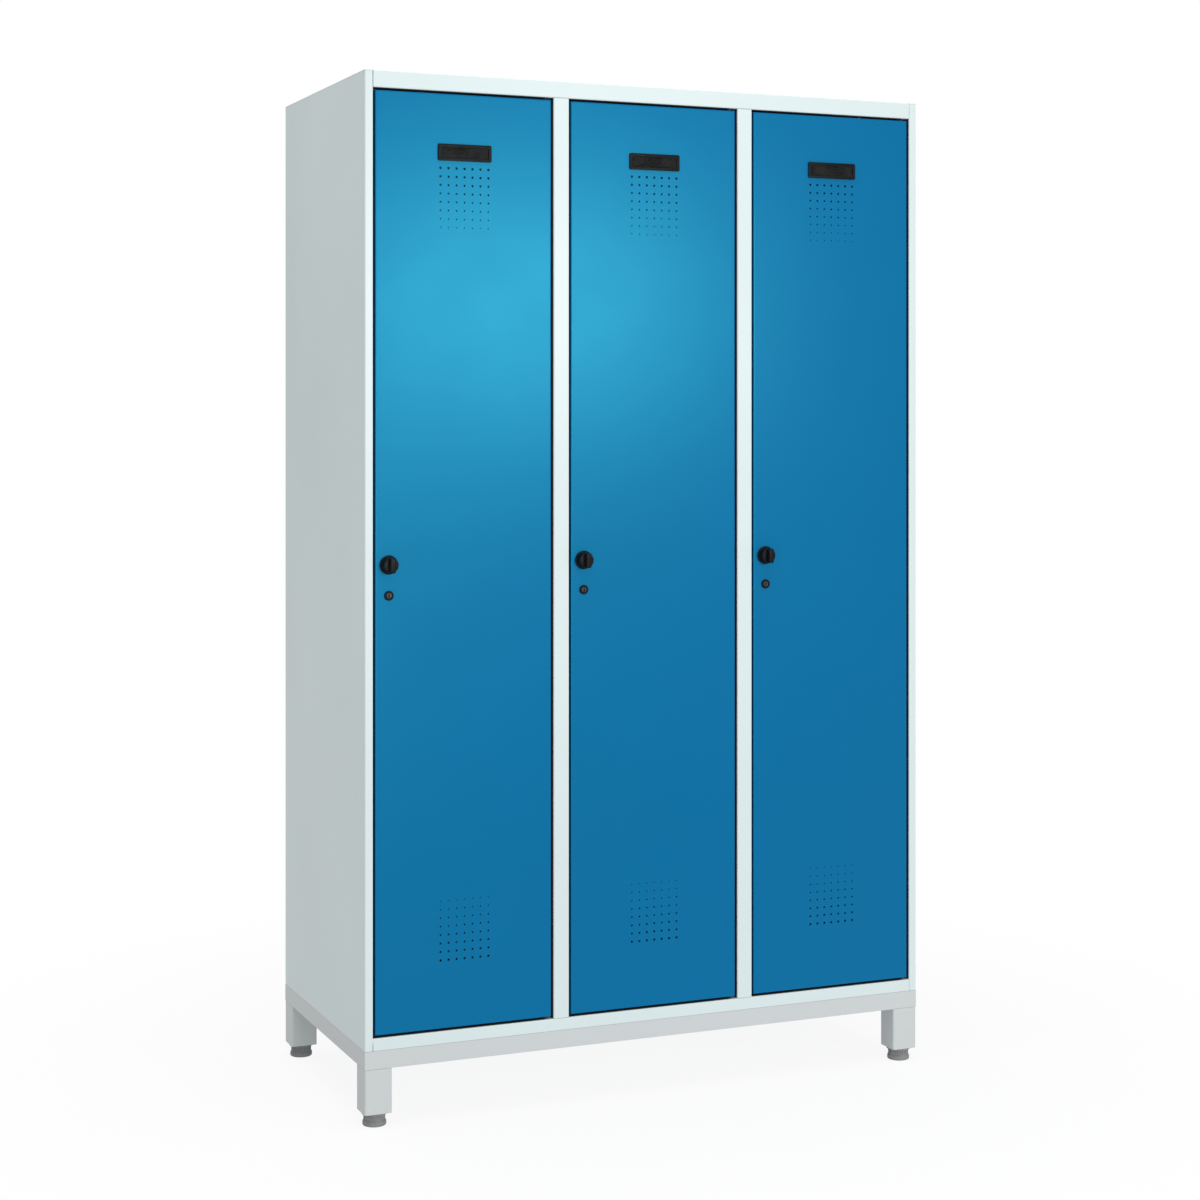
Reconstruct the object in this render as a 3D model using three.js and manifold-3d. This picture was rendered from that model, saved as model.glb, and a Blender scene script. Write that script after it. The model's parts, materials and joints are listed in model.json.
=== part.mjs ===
// Three-door steel locker cabinet on a four-legged stand.
// Millimetres, +Z up. The origin is on the floor under the middle of the whole outline. The doors face -Y.
import * as THREE from "three";
import { mergeVertices } from "three/addons/utils/BufferGeometryUtils.js";
import Module from "manifold-3d";

const wasm = await Module();
wasm.setup();

// ---------------------------------------------------------------- driving dimensions

const WIDTH = 1110;
const HEIGHT = 1850;
const FRONT = -250; // plane of the door frame
const BACK = 275;
const SHEET = 0.8; // sheet steel of every folded panel
const BEND = 1.6; // middle radius of a fold
const OUTER_BEND = BEND + SHEET / 2;
const INNER_BEND = BEND - SHEET / 2;
const GAP = 0.3; // between two pieces that touch

const DOOR_NAMES = ["left", "middle", "right"];
const PITCH = WIDTH / DOOR_NAMES.length; // one compartment
const STILE = 15; // frame face beside a door, so a mullion is two of these

const FOOT_HEIGHT = 24;
const LEG_WIDTH = 50;
const LEG_WALL = 2;
const STAND_TOP = 135;
const STAND_RAIL = 32; // height of the stand's angle-iron ring
const STAND_WALL = 3;

const BODY_BOTTOM = STAND_TOP + GAP;
const OPENING_BOTTOM = 157;
const OPENING_TOP = 1820;
const JAMB_DEPTH = 22; // how far the frame's returns run back
const STOP_LIP = 8; // lip behind the latch edge of each door
const REAR_FLANGE = 12;

const DOOR_GAP = 4.2;
const DOOR_RECESS = 2; // the door's face behind the frame's face
const DOOR_DEPTH = 18;
const DOOR_LIP = 12;
const DOOR_WIDTH = PITCH - 2 * STILE - 2 * DOOR_GAP;
const DOOR_BOTTOM = OPENING_BOTTOM + DOOR_GAP;
const DOOR_TOP = OPENING_TOP - DOOR_GAP;
const DOOR_FACE = FRONT + DOOR_RECESS;
const DOOR_REAR = DOOR_FACE + DOOR_DEPTH;

const PIVOT_INSET = 9; // hinge axis from the door's hinge edge
const PIVOT_SETBACK = 7; // and from its face
const PIN_RADIUS = 2.7;
const PIN_HOLE_RADIUS = 3.2;

const VENT_COLUMNS = 7;
const VENT_ROWS = 8;
const VENT_PITCH = 15;
const VENT_LARGE = 3.8; // side of the largest square hole
const VENT_SMALL = 1.8;
const UPPER_VENT_Z = 1684; // row of the largest holes, with smaller rows below it
const LOWER_VENT_Z = 282; // row of the largest holes, with smaller rows above it

const LABEL_Z = 1712;
const LABEL_WIDTH = 100;
const LABEL_HEIGHT = 30;
const LABEL_DEPTH = 3.4;

const KNOB_Z = 984;
const KNOB_INSET = 25; // lock axis from the door's latch edge
const KNOB_REACH = 25; // front of the grip ahead of the door frame
const KEY_DROP = 54; // key cylinder below the knob

const STIFFENER_BOTTOM = 430;
const STIFFENER_TOP = 1540;

const SHELF_Z = 1540;
const SHELF_FRONT = -205;
const SHELF_FOLD = 20;
const COAT_RAIL_Z = 1488;
const COAT_RAIL_Y = 20;

const RIGHT = WIDTH / 2;
const LEFT = -RIGHT;

// ---------------------------------------------------------------- materials

const steel = (colour, roughness) =>
  new THREE.MeshStandardMaterial({ color: colour, roughness, metalness: 0.1 });

const GREY_PAINT = steel(0xd5dad8, 0.45);
const STAND_PAINT = steel(0xc4c8c8, 0.5);
const BLUE_PAINT = steel(0x1480b8, 0.35);
const BLACK_PLASTIC = new THREE.MeshStandardMaterial({ color: 0x101214, roughness: 0.45, metalness: 0 });
const GREY_PLASTIC = new THREE.MeshStandardMaterial({ color: 0x8c8e8e, roughness: 0.6, metalness: 0 });
const CARD = new THREE.MeshStandardMaterial({ color: 0x3c3a38, roughness: 0.7, metalness: 0 });
const ZINC = new THREE.MeshStandardMaterial({ color: 0xb4b8ba, roughness: 0.35, metalness: 0.9 });
const DARK_STEEL = new THREE.MeshStandardMaterial({ color: 0x3a3b3c, roughness: 0.45, metalness: 0.8 });

// ---------------------------------------------------------------- solids

function toManifold(geometry) {
  const bare = geometry.clone();
  bare.deleteAttribute("normal");
  bare.deleteAttribute("uv");
  const merged = mergeVertices(bare, 1e-4);
  return new wasm.Manifold(
    new wasm.Mesh({
      numProp: 3,
      vertProperties: new Float32Array(merged.attributes.position.array),
      triVerts: new Uint32Array(merged.index.array),
    }),
  );
}

function toGeometry(manifold) {
  const mesh = manifold.getMesh();
  const geometry = new THREE.BufferGeometry();
  geometry.setAttribute("position", new THREE.BufferAttribute(mesh.vertProperties, 3));
  geometry.setIndex(new THREE.BufferAttribute(mesh.triVerts, 1));
  geometry.computeVertexNormals();
  return geometry;
}

function join(...geometries) {
  return toGeometry(geometries.map(toManifold).reduce((a, b) => a.add(b)));
}

function cut(geometry, ...tools) {
  return toGeometry(tools.map(toManifold).reduce((a, b) => a.subtract(b), toManifold(geometry)));
}

// Corners are set to the exact bounds, so two boxes that share a plane meet without a sliver.
function box(x0, x1, y0, y1, z0, z1) {
  const geometry = new THREE.BoxGeometry(1, 1, 1);
  const corners = geometry.attributes.position;
  for (let i = 0; i < corners.count; i++) {
    const x = corners.getX(i) < 0 ? x0 : x1;
    const y = corners.getY(i) < 0 ? y0 : y1;
    const z = corners.getZ(i) < 0 ? z0 : z1;
    corners.setXYZ(i, x, y, z);
  }
  return geometry;
}

// A round bar along Z, or along Y, from its low end to its high end.
function barZ(radius, x, y, z0, z1, sides = 16) {
  const geometry = new THREE.CylinderGeometry(radius, radius, z1 - z0, sides).rotateX(Math.PI / 2);
  return geometry.translate(x, y, (z0 + z1) / 2);
}

function barY(radius, x, z, y0, y1, sides = 16) {
  return new THREE.CylinderGeometry(radius, radius, y1 - y0, sides).translate(x, (y0 + y1) / 2, z);
}

// A body of revolution about a line along Y. The profile lists [radius, y] and starts and ends on the axis.
function turnedY(profile, x, z, sides = 24) {
  const points = profile.map(([radius, y]) => new THREE.Vector2(radius, y));
  return new THREE.LatheGeometry(points, sides).translate(x, 0, z);
}

function extrudeZ(shape, z0, z1, curveSegments = 2) {
  const geometry = new THREE.ExtrudeGeometry(shape, { depth: z1 - z0, bevelEnabled: false, curveSegments });
  return geometry.translate(0, 0, z0);
}

// The outline of a folded sheet. Its middle line runs through the points, with a fold at each inner one.
function foldedSheet(points, foldSteps = 2) {
  const path = points.map(([x, y]) => new THREE.Vector2(x, y));
  const stations = [];
  const normalOf = (direction) => new THREE.Vector2(-direction.y, direction.x);
  path.forEach((point, i) => {
    const before = i > 0 ? point.clone().sub(path[i - 1]).normalize() : null;
    const after = i < path.length - 1 ? path[i + 1].clone().sub(point).normalize() : null;
    if (!before || !after) {
      stations.push([point, normalOf(before || after)]);
      return;
    }
    const turn = Math.sign(before.cross(after));
    const start = point.clone().addScaledVector(before, -BEND);
    const centre = start.clone().addScaledVector(normalOf(before), turn * BEND);
    const startAngle = Math.atan2(start.y - centre.y, start.x - centre.x);
    for (let step = 0; step <= foldSteps; step++) {
      const angle = startAngle + (turn * (step / foldSteps) * Math.PI) / 2;
      const outward = new THREE.Vector2(Math.cos(angle), Math.sin(angle));
      stations.push([centre.clone().addScaledVector(outward, BEND), outward.multiplyScalar(-turn)]);
    }
  });
  const side = (sign) => stations.map(([p, n]) => p.clone().addScaledVector(n, (sign * SHEET) / 2));
  return new THREE.Shape([...side(1), ...side(-1).reverse()]);
}

// What is cut away to round an outside fold along X. The signs of outY and outZ point out of the corner.
function foldRounding(width, y, z, outY, outZ) {
  const steps = 3;
  const inY = y - outY * OUTER_BEND;
  const inZ = z - outZ * OUTER_BEND;
  const points = [];
  for (let step = 0; step <= steps; step++) {
    const angle = (step / steps) * (Math.PI / 2);
    points.push([inY + outY * OUTER_BEND * Math.cos(angle), inZ + outZ * OUTER_BEND * Math.sin(angle)]);
  }
  points.push([inY, z + outZ], [y + outY, z + outZ], [y + outY, inZ]);
  const outline = new THREE.Shape(points.map(([alongY, alongZ]) => new THREE.Vector2(alongY, alongZ)));
  const geometry = new THREE.ExtrudeGeometry(outline, { depth: width, bevelEnabled: false });
  // The outline lies in the YZ plane, so the axes turn from X, Y, Z to Y, Z, X.
  return geometry.translate(0, 0, -width / 2).applyMatrix4(
    new THREE.Matrix4().set(0, 0, 1, 0, 1, 0, 0, 0, 0, 1, 0, 0, 0, 0, 0, 1),
  );
}

// A block whose front and rear edges are rounded like folds.
function softBlock(x0, x1, y0, y1, z0, z1, radius) {
  const outline = new THREE.Shape();
  outline.moveTo(x0 + radius, z0 + radius);
  outline.lineTo(x1 - radius, z0 + radius);
  outline.lineTo(x1 - radius, z1 - radius);
  outline.lineTo(x0 + radius, z1 - radius);
  const geometry = new THREE.ExtrudeGeometry(outline, {
    depth: y1 - y0 - 2 * radius, bevelThickness: radius, bevelSize: radius, bevelSegments: 3,
  });
  return geometry.rotateX(Math.PI / 2).translate(0, y1 - radius, 0);
}

const locker = new THREE.Group();

function add(name, geometry, material) {
  const mesh = new THREE.Mesh(geometry, material);
  mesh.name = name;
  locker.add(mesh);
}

// ---------------------------------------------------------------- stand

function standRing() {
  const wall = STAND_WALL;
  const shelf = 30; // inward leg of the angle iron
  const bottom = STAND_TOP - STAND_RAIL;
  const outer = box(LEFT, RIGHT, FRONT, BACK, bottom, STAND_TOP);
  const belowShelf = box(LEFT + wall, RIGHT - wall, FRONT + wall, BACK - wall, bottom - 1, STAND_TOP - wall);
  const middle = box(LEFT + shelf, RIGHT - shelf, FRONT + shelf, BACK - shelf, 0, STAND_TOP + 1);
  return cut(outer, belowShelf, middle);
}

function roundedSquare(half, radius, x, y, asHole = false) {
  const outline = asHole ? new THREE.Path() : new THREE.Shape();
  outline.moveTo(x + half, y - half + radius);
  outline.absarc(x + half - radius, y + half - radius, radius, 0, Math.PI / 2);
  outline.absarc(x - half + radius, y + half - radius, radius, Math.PI / 2, Math.PI);
  outline.absarc(x - half + radius, y - half + radius, radius, Math.PI, 1.5 * Math.PI);
  outline.absarc(x + half - radius, y - half + radius, radius, 1.5 * Math.PI, 2 * Math.PI);
  return outline;
}

function leg(x, y) {
  const half = LEG_WIDTH / 2;
  const tube = roundedSquare(half, 4, x, y);
  tube.holes.push(roundedSquare(half - LEG_WALL, 4 - LEG_WALL, x, y, true));
  const length = STAND_TOP - STAND_RAIL - GAP - FOOT_HEIGHT;
  return extrudeZ(tube, FOOT_HEIGHT, FOOT_HEIGHT + length, 3);
}

function foot(x, y) {
  const padRadius = 21;
  const neckRadius = 18;
  const plugHalf = LEG_WIDTH / 2 - LEG_WALL - GAP;
  const plugTop = FOOT_HEIGHT + 18;
  const profile = [
    [0, 0], [padRadius - 1.5, 0], [padRadius, 1.5], [padRadius, 8], [neckRadius, 12],
    [neckRadius, FOOT_HEIGHT + 1], [0, FOOT_HEIGHT + 1],
  ];
  const pad = new THREE.LatheGeometry(profile.map(([r, z]) => new THREE.Vector2(r, z)), 20);
  pad.rotateX(Math.PI / 2).translate(x, y, 0);
  const plug = extrudeZ(roundedSquare(plugHalf, 1.2, x, y), FOOT_HEIGHT, plugTop);
  return join(pad, plug);
}

const LEG_INSET = LEG_WIDTH / 2; // the legs stand flush with the corners
const CORNERS = [
  ["front_left", LEFT + LEG_INSET, FRONT + LEG_INSET],
  ["front_right", RIGHT - LEG_INSET, FRONT + LEG_INSET],
  ["rear_left", LEFT + LEG_INSET, BACK - LEG_INSET],
  ["rear_right", RIGHT - LEG_INSET, BACK - LEG_INSET],
];

function addStand() {
  add("stand_frame", standRing(), STAND_PAINT);
  for (const [corner, x, y] of CORNERS) {
    add(`leg_${corner}`, leg(x, y), STAND_PAINT);
    add(`foot_${corner}`, foot(x, y), GREY_PLASTIC);
  }
}

// ---------------------------------------------------------------- carcass

const HALF_SHEET = SHEET / 2;
const PANEL_TOP = HEIGHT - SHEET - GAP; // side panels and partitions end under the top sheet
const INSIDE = RIGHT - OUTER_BEND - GAP; // clear of the side panels' round folds
const REAR_INSIDE = BACK - SHEET - GAP;
const JAMB_BACK = FRONT + JAMB_DEPTH;
const COMPARTMENT_HALF = PITCH / 2 - HALF_SHEET - GAP - 0.5; // what fits between two partitions

// Both sides are folded to one section. The left one also has the stop lip of the left door's latch edge.
function sidePanel(sign, withStop) {
  const outside = sign * (RIGHT - HALF_SHEET);
  const jamb = sign * (RIGHT - STILE + HALF_SHEET);
  const lipEnd = sign * (RIGHT - STILE - STOP_LIP);
  const points = [
    [sign * (RIGHT - REAR_FLANGE), BACK - HALF_SHEET],
    [outside, BACK - HALF_SHEET],
    [outside, FRONT + HALF_SHEET],
    [jamb, FRONT + HALF_SHEET],
    [jamb, JAMB_BACK - (withStop ? HALF_SHEET : 0)],
  ];
  if (!withStop) return extrudeZ(foldedSheet(points), BODY_BOTTOM, PANEL_TOP);
  points.push([lipEnd, JAMB_BACK - HALF_SHEET]);
  const lip = [sign * (RIGHT - STILE), lipEnd - sign].sort((a, b) => a - b);
  const besideRails = [[0, OPENING_BOTTOM + GAP], [OPENING_TOP - GAP, HEIGHT]];
  const lipEnds = besideRails.map(([z0, z1]) => box(...lip, FRONT, JAMB_BACK + 1, z0, z1));
  return cut(extrudeZ(foldedSheet(points), BODY_BOTTOM, PANEL_TOP), ...lipEnds);
}

// The post between two doors. Its left return is a hinge jamb, and its right one ends in a stop lip.
function mullion(x) {
  const jamb = STILE - HALF_SHEET;
  const points = [
    [x - jamb, JAMB_BACK],
    [x - jamb, FRONT + HALF_SHEET],
    [x + jamb, FRONT + HALF_SHEET],
    [x + jamb, JAMB_BACK - HALF_SHEET],
    [x + STILE + STOP_LIP, JAMB_BACK - HALF_SHEET],
  ];
  return extrudeZ(foldedSheet(points), OPENING_BOTTOM + GAP, OPENING_TOP - GAP);
}

function partition(x) {
  const front = FRONT + SHEET + GAP;
  const rear = REAR_INSIDE - SHEET - GAP;
  const sheet = box(x - HALF_SHEET, x + HALF_SHEET, front, rear, OPENING_BOTTOM + GAP, PANEL_TOP);
  const aroundTopRail = box(x - 1, x + 1, front - 1, JAMB_BACK + GAP, OPENING_TOP - GAP, HEIGHT);
  return cut(sheet, aroundTopRail);
}

function backPanel() {
  return box(-INSIDE, INSIDE, REAR_INSIDE - SHEET, REAR_INSIDE, OPENING_BOTTOM + GAP, PANEL_TOP);
}

// Hinge axes, one for each door, and the hole tools that let their pins through a horizontal sheet.
const doorCentre = (i) => LEFT + (i + 0.5) * PITCH;
const pivotX = (i) => doorCentre(i) + DOOR_WIDTH / 2 - PIVOT_INSET;
const PIVOT_Y = DOOR_FACE + PIVOT_SETBACK;
const pinHoles = (z) => DOOR_NAMES.map((_, i) => barZ(PIN_HOLE_RADIUS, pivotX(i), PIVOT_Y, z - 4, z + 4));

function topPanel() {
  const inside = RIGHT - STILE - GAP; // the rail fits between the stiles
  const sheet = box(LEFT, RIGHT, FRONT, BACK, HEIGHT - SHEET, HEIGHT);
  const face = box(-inside, inside, FRONT, FRONT + SHEET, OPENING_TOP, HEIGHT - HALF_SHEET);
  const railReturn = box(-inside, inside, FRONT, JAMB_BACK, OPENING_TOP, OPENING_TOP + SHEET);
  const folds = [
    foldRounding(WIDTH + 2, FRONT, HEIGHT, -1, 1),
    foldRounding(WIDTH + 2, FRONT, OPENING_TOP, -1, -1),
  ];
  return cut(join(sheet, face, railReturn), ...folds, ...pinHoles(OPENING_TOP));
}

function bottomPanel() {
  const inside = RIGHT - STILE - GAP;
  const flangeFront = JAMB_BACK + GAP; // behind the folded stiles
  const top = OPENING_BOTTOM;
  const under = top - SHEET;
  const tray = cut(
    box(-INSIDE, INSIDE, flangeFront, REAR_INSIDE, BODY_BOTTOM, top),
    box(-INSIDE + SHEET, INSIDE - SHEET, flangeFront - 1, REAR_INSIDE - SHEET, BODY_BOTTOM - 1, under),
  );
  const rail = cut(
    box(-inside, inside, FRONT, flangeFront + 1, BODY_BOTTOM, top),
    box(-inside - 1, inside + 1, FRONT + SHEET, flangeFront + 2, BODY_BOTTOM + SHEET, under),
    box(-inside - 1, inside + 1, JAMB_BACK, flangeFront + 2, BODY_BOTTOM - 1, under),
  );
  return cut(join(tray, rail), foldRounding(WIDTH + 2, FRONT, top, -1, 1), ...pinHoles(top));
}

// Shelf under the hat space: a sheet with its four edges folded down.
function hatShelf(x) {
  const half = COMPARTMENT_HALF;
  const front = SHELF_FRONT;
  const rear = REAR_INSIDE - SHEET - GAP;
  const bottom = SHELF_Z - SHELF_FOLD;
  const slab = box(x - half, x + half, front, rear, bottom, SHELF_Z);
  const under = box(
    x - half + SHEET, x + half - SHEET, front + SHEET, rear - SHEET, bottom - 1, SHELF_Z - SHEET,
  );
  return cut(slab, under);
}

// Hanging rail: a tube with a flange at each end against the partitions.
function coatRail(x) {
  const half = COMPARTMENT_HALF;
  const tube = 9;
  const wall = 1.5;
  const flange = 17;
  const flangeThickness = 3;
  const profile = [
    [tube - wall, -half], [flange, -half], [flange, -half + flangeThickness], [tube, -half + flangeThickness],
    [tube, half - flangeThickness], [flange, half - flangeThickness], [flange, half], [tube - wall, half],
    [tube - wall, -half],
  ];
  const points = profile.map(([radius, along]) => new THREE.Vector2(radius, along));
  return new THREE.LatheGeometry(points, 16).rotateZ(-Math.PI / 2).translate(x, COAT_RAIL_Y, COAT_RAIL_Z);
}

function addCarcass() {
  add("side_panel_left", sidePanel(-1, true), GREY_PAINT);
  add("side_panel_right", sidePanel(1, false), GREY_PAINT);
  add("back_panel", backPanel(), GREY_PAINT);
  add("top_panel", topPanel(), GREY_PAINT);
  add("bottom_panel", bottomPanel(), GREY_PAINT);
  for (const [name, x] of [["left", LEFT + PITCH], ["right", RIGHT - PITCH]]) {
    add(`mullion_${name}`, mullion(x), GREY_PAINT);
    add(`partition_${name}`, partition(x), GREY_PAINT);
  }
  DOOR_NAMES.forEach((name, i) => {
    add(`hat_shelf_${name}`, hatShelf(doorCentre(i)), GREY_PAINT);
    add(`coat_rail_${name}`, coatRail(doorCentre(i)), ZINC);
  });
}

// ---------------------------------------------------------------- hinges

const HINGE_BLOCK_HALF = 10;
const HINGE_BLOCK_THICKNESS = 6;
const PIN_REACH = 14; // how far a pin runs into the door

// A block behind the rail with a pin that drops, or rises, through the sheet into the door's flange.
function hinge(x, sheetFace, intoDoor) {
  const block = sheetFace - intoDoor * (SHEET + GAP);
  const far = block - intoDoor * HINGE_BLOCK_THICKNESS;
  const tip = sheetFace + intoDoor * (DOOR_GAP + PIN_REACH);
  const front = FRONT + SHEET + GAP;
  const low = Math.min(block, far);
  const high = Math.max(block, far);
  const plate = box(x - HINGE_BLOCK_HALF, x + HINGE_BLOCK_HALF, front, JAMB_BACK - 3, low, high);
  const middle = (block + far) / 2;
  return join(plate, barZ(PIN_RADIUS, x, PIVOT_Y, Math.min(middle, tip), Math.max(middle, tip)));
}

function addHinges() {
  DOOR_NAMES.forEach((name, i) => {
    add(`hinge_upper_${name}`, hinge(pivotX(i), OPENING_TOP, -1), DARK_STEEL);
    add(`hinge_lower_${name}`, hinge(pivotX(i), OPENING_BOTTOM, 1), DARK_STEEL);
  });
}

// ---------------------------------------------------------------- doors

// A rectangular field of square holes that shrink from the first row to the last.
function ventTools(x, firstRowZ, direction) {
  const tools = [];
  for (let row = 0; row < VENT_ROWS; row++) {
    const half = THREE.MathUtils.lerp(VENT_LARGE, VENT_SMALL, row / (VENT_ROWS - 1)) / 2;
    const z = firstRowZ + direction * row * VENT_PITCH;
    for (let column = 0; column < VENT_COLUMNS; column++) {
      const across = x + (column - (VENT_COLUMNS - 1) / 2) * VENT_PITCH;
      tools.push(box(across - half, across + half, DOOR_FACE - 1, DOOR_FACE + SHEET + 1, z - half, z + half));
    }
  }
  return tools;
}

const SPINDLE_RADIUS = 5;
const SPINDLE_HOLE_RADIUS = 5.6;
const PLUG_RADIUS = 5;
const PLUG_HOLE_RADIUS = 5.6;
const COLLAR_RADIUS = 8.5;

function doorPanel(x, lockX) {
  const half = DOOR_WIDTH / 2;
  const slab = softBlock(x - half, x + half, DOOR_FACE, DOOR_REAR, DOOR_BOTTOM, DOOR_TOP, OUTER_BEND);
  const inside = softBlock(
    x - half + SHEET, x + half - SHEET, DOOR_FACE + SHEET, DOOR_REAR - SHEET, DOOR_BOTTOM + SHEET,
    DOOR_TOP - SHEET, INNER_BEND,
  );
  const rear = box(
    x - half + DOOR_LIP, x + half - DOOR_LIP, DOOR_REAR - SHEET - 1, DOOR_REAR + 1, DOOR_BOTTOM + DOOR_LIP,
    DOOR_TOP - DOOR_LIP,
  );
  const pinX = x + half - PIVOT_INSET;
  const pivots = [DOOR_BOTTOM, DOOR_TOP].map((z) => barZ(PIN_HOLE_RADIUS, pinX, PIVOT_Y, z - 2, z + 2));
  const lockHoles = [
    barY(SPINDLE_HOLE_RADIUS, lockX, KNOB_Z, DOOR_FACE - 1, DOOR_FACE + 2),
    barY(PLUG_HOLE_RADIUS, lockX, KNOB_Z - KEY_DROP, DOOR_FACE - 1, DOOR_FACE + 2),
  ];
  const vents = [...ventTools(x, UPPER_VENT_Z, -1), ...ventTools(x, LOWER_VENT_Z, 1)];
  return cut(slab, inside, rear, ...pivots, ...lockHoles, ...vents);
}

// Hat-section channel up the middle of the door's inside, between the two vent fields.
function doorStiffener(x) {
  const crown = 26; // half width of the raised part
  const brim = 42;
  const skin = DOOR_FACE + SHEET + GAP + HALF_SHEET;
  const top = DOOR_REAR - 3;
  const points = [
    [x - brim, skin], [x - crown, skin], [x - crown, top],
    [x + crown, top], [x + crown, skin], [x + brim, skin],
  ];
  return extrudeZ(foldedSheet(points), STIFFENER_BOTTOM, STIFFENER_TOP);
}

function labelHolder(x) {
  const rim = 6; // frame around the window
  const pocket = 3.5; // frame around the card, behind the window's rim
  const rear = DOOR_FACE - GAP;
  const plate = box(
    x - LABEL_WIDTH / 2, x + LABEL_WIDTH / 2, rear - LABEL_DEPTH, rear, LABEL_Z - LABEL_HEIGHT / 2,
    LABEL_Z + LABEL_HEIGHT / 2,
  );
  const opening = (edge, y0, y1) => {
    const halfWidth = LABEL_WIDTH / 2 - edge;
    const halfHeight = LABEL_HEIGHT / 2 - edge;
    return box(x - halfWidth, x + halfWidth, y0, y1, LABEL_Z - halfHeight, LABEL_Z + halfHeight);
  };
  return cut(plate, opening(rim, rear - LABEL_DEPTH - 1, rear + 1), opening(pocket, rear - 1.6, rear + 1));
}

function labelCard(x) {
  const halfWidth = LABEL_WIDTH / 2 - 4;
  const halfHeight = LABEL_HEIGHT / 2 - 4;
  const rear = DOOR_FACE - 2 * GAP;
  return box(x - halfWidth, x + halfWidth, rear - 0.6, rear, LABEL_Z - halfHeight, LABEL_Z + halfHeight);
}

// ---------------------------------------------------------------- locks

const ROSETTE_FRONT = DOOR_FACE - 3;
const ROSETTE_RADIUS = 17;
const KNOB_RADIUS = 14.5;
const CASE_REAR = DOOR_REAR - 1.2;
const CAM_FRONT = JAMB_BACK + 1;
const CAM_THICKNESS = 2.5;
const SQUARE_HALF = 3.5; // the spindle's square end

function lockRosette(x) {
  const rear = DOOR_FACE - GAP;
  const profile = [
    [0, ROSETTE_FRONT], [ROSETTE_RADIUS - 1.5, ROSETTE_FRONT], [ROSETTE_RADIUS, ROSETTE_FRONT + 1.5],
    [ROSETTE_RADIUS, rear], [0, rear],
  ];
  return cut(turnedY(profile, x, KNOB_Z), barY(SPINDLE_HOLE_RADIUS, x, KNOB_Z, ROSETTE_FRONT - 1, rear + 1));
}

// Round knob with its front cut back on both sides to a thumb bar. Its spindle ends square behind the door.
function turnKnob(x) {
  const rear = ROSETTE_FRONT - GAP;
  const front = FRONT - KNOB_REACH;
  const barHalf = 5;
  const barDepth = 11;
  const profile = [
    [0, front], [KNOB_RADIUS - 2, front], [KNOB_RADIUS, front + 2], [KNOB_RADIUS, rear], [0, rear],
  ];
  const grips = [-1, 1].map((side) => {
    const inner = x + side * barHalf;
    const outer = x + side * (KNOB_RADIUS + 1);
    return box(
      Math.min(inner, outer), Math.max(inner, outer), front - 1, front + barDepth, KNOB_Z - 20, KNOB_Z + 20,
    );
  });
  const head = cut(turnedY(profile, x, KNOB_Z), ...grips);
  const spindle = barY(SPINDLE_RADIUS, x, KNOB_Z, rear - 1, CAM_FRONT - 0.5);
  const squareRear = CAM_FRONT + CAM_THICKNESS + 2;
  const square = box(
    x - SQUARE_HALF, x + SQUARE_HALF, CAM_FRONT - 1, squareRear, KNOB_Z - SQUARE_HALF, KNOB_Z + SQUARE_HALF,
  );
  return join(head, spindle, square);
}

// The cam hangs down when the door is unlatched, and a quarter turn brings it behind the stop lip.
function latchCam(x) {
  const halfWidth = 8;
  const length = 40;
  const rear = CAM_FRONT + CAM_THICKNESS;
  const hole = SQUARE_HALF + GAP;
  const hub = barY(11, x, KNOB_Z, CAM_FRONT, rear);
  const arm = box(x - halfWidth, x + halfWidth, CAM_FRONT, rear, KNOB_Z - length, KNOB_Z);
  return cut(join(hub, arm), box(x - hole, x + hole, CAM_FRONT - 1, rear + 1, KNOB_Z - hole, KNOB_Z + hole));
}

function lockCase(x) {
  const halfWidth = 19;
  const front = DOOR_FACE + SHEET + GAP;
  const housing = box(x - halfWidth, x + halfWidth, front, CASE_REAR, KNOB_Z - KEY_DROP - 16, KNOB_Z + 20);
  return cut(
    housing,
    barY(SPINDLE_HOLE_RADIUS, x, KNOB_Z, front - 1, CASE_REAR + 1),
    barY(PLUG_HOLE_RADIUS, x, KNOB_Z - KEY_DROP, front - 1, CASE_REAR + 1),
  );
}

function cylinderCollar(x) {
  const z = KNOB_Z - KEY_DROP;
  const front = DOOR_FACE - 3.5;
  const rear = DOOR_FACE - GAP;
  const profile = [
    [0, front], [COLLAR_RADIUS - 1, front], [COLLAR_RADIUS, front + 1], [COLLAR_RADIUS, rear], [0, rear],
  ];
  return cut(turnedY(profile, x, z, 20), barY(PLUG_HOLE_RADIUS, x, z, front - 1, rear + 1));
}

function keyPlug(x) {
  const z = KNOB_Z - KEY_DROP;
  const front = DOOR_FACE - 3;
  const plug = barY(PLUG_RADIUS, x, z, front, CASE_REAR - 2);
  const keyway = box(x - 0.8, x + 0.8, front - 1, front + 8, z - 3.4, z + 3.4);
  return cut(plug, keyway);
}

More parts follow.
